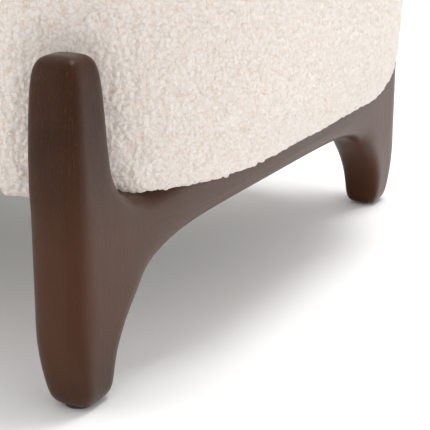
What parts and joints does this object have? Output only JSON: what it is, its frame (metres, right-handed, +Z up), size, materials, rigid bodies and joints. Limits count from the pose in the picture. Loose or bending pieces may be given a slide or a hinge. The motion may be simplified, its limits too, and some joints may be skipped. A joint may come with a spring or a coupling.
{
  "type": "sofa with wooden legs",
  "caption": "Low rounded boucle sofa on sculpted dark walnut side frames whose front legs rise against the body's corners, with loose seat and back cushions.",
  "frame": {"origin": "on the floor, under the middle of the sofa's box", "axes": "+Z up, the front faces -Y, +X to the right as seen from the front"},
  "size_m": [1.8, 0.9008, 0.7528],
  "materials": {
    "walnut": "dark walnut stain, satin",
    "boucle": "ivory sherpa boucle",
    "carcass_timber": "sawn pine",
    "plywood": "birch ply",
    "beech": "fluted beech",
    "deck_felt": "needled felt",
    "dust_cloth": "pale grey non-woven",
    "nylon": "dark nylon",
    "zinc_steel": "zinc plated",
    "brass": "plain",
    "spring_steel": "oiled",
    "zip_tape": "woven tape",
    "zip_metal": "satin"
  },
  "bodies": {
    "sofa_frame": {"front_leg_left": "walnut", "front_leg_right": "walnut", "rear_leg_left": "walnut", "rear_leg_right": "walnut", "side_rail_left": "walnut", "side_rail_right": "walnut", "sill_left": "carcass_timber", "sill_right": "carcass_timber", "arm_board_left": "plywood", "arm_board_right": "plywood", "arm_left": "boucle", "arm_right": "boucle", "rail_dowels": "beech", "foot_glides": "nylon", "frame_bolts": "zinc_steel", "bolt_washers": "zinc_steel", "threaded_inserts": "brass", "front_timber": "carcass_timber", "rear_timber": "carcass_timber", "seat_joists": "carcass_timber", "corner_blocks": "carcass_timber", "back_board": "plywood", "back_posts": "carcass_timber", "seat_springs": "spring_steel", "spring_clips": "spring_steel", "deck_pad": "deck_felt", "dust_cover": "dust_cloth", "front_band": "boucle", "back_pad": "boucle"},
    "seat_cushion_left_body": {"seat_cushion_left": "boucle", "seat_zip_left": "zip_tape"},
    "back_cushion_left_body": {"back_cushion_left": "boucle", "back_zip_left": "zip_tape"},
    "seat_slider_left_body": {"seat_slider_left": "zip_metal"},
    "back_slider_left_body": {"back_slider_left": "zip_metal"},
    "seat_cushion_right_body": {"seat_cushion_right": "boucle", "seat_zip_right": "zip_tape"},
    "back_cushion_right_body": {"back_cushion_right": "boucle", "back_zip_right": "zip_tape"},
    "seat_slider_right_body": {"seat_slider_right": "zip_metal"},
    "back_slider_right_body": {"back_slider_right": "zip_metal"}
  },
  "joints": [
    {"name": "seat_cushion_left_pulls_out", "type": "slide", "parent": "sofa_frame", "child": "seat_cushion_left_body", "axis": [0, -1, 0], "range_m": [0, 0.35]},
    {"name": "back_cushion_left_lifts_out", "type": "slide", "parent": "sofa_frame", "child": "back_cushion_left_body", "axis": [0, 0, 1], "range_m": [0, 0.35]},
    {"name": "seat_zip_left_slides", "type": "slide", "parent": "seat_cushion_left_body", "child": "seat_slider_left_body", "axis": [1, 0, 0], "range_m": [0, 0.47]},
    {"name": "back_zip_left_slides", "type": "slide", "parent": "back_cushion_left_body", "child": "back_slider_left_body", "axis": [1, 0, 0], "range_m": [0, 0.47]},
    {"name": "seat_cushion_right_pulls_out", "type": "slide", "parent": "sofa_frame", "child": "seat_cushion_right_body", "axis": [0, -1, 0], "range_m": [0, 0.35]},
    {"name": "back_cushion_right_lifts_out", "type": "slide", "parent": "sofa_frame", "child": "back_cushion_right_body", "axis": [0, 0, 1], "range_m": [0, 0.35]},
    {"name": "seat_zip_right_slides", "type": "slide", "parent": "seat_cushion_right_body", "child": "seat_slider_right_body", "axis": [1, 0, 0], "range_m": [0, 0.47]},
    {"name": "back_zip_right_slides", "type": "slide", "parent": "back_cushion_right_body", "child": "back_slider_right_body", "axis": [1, 0, 0], "range_m": [0, 0.47]}
  ]
}
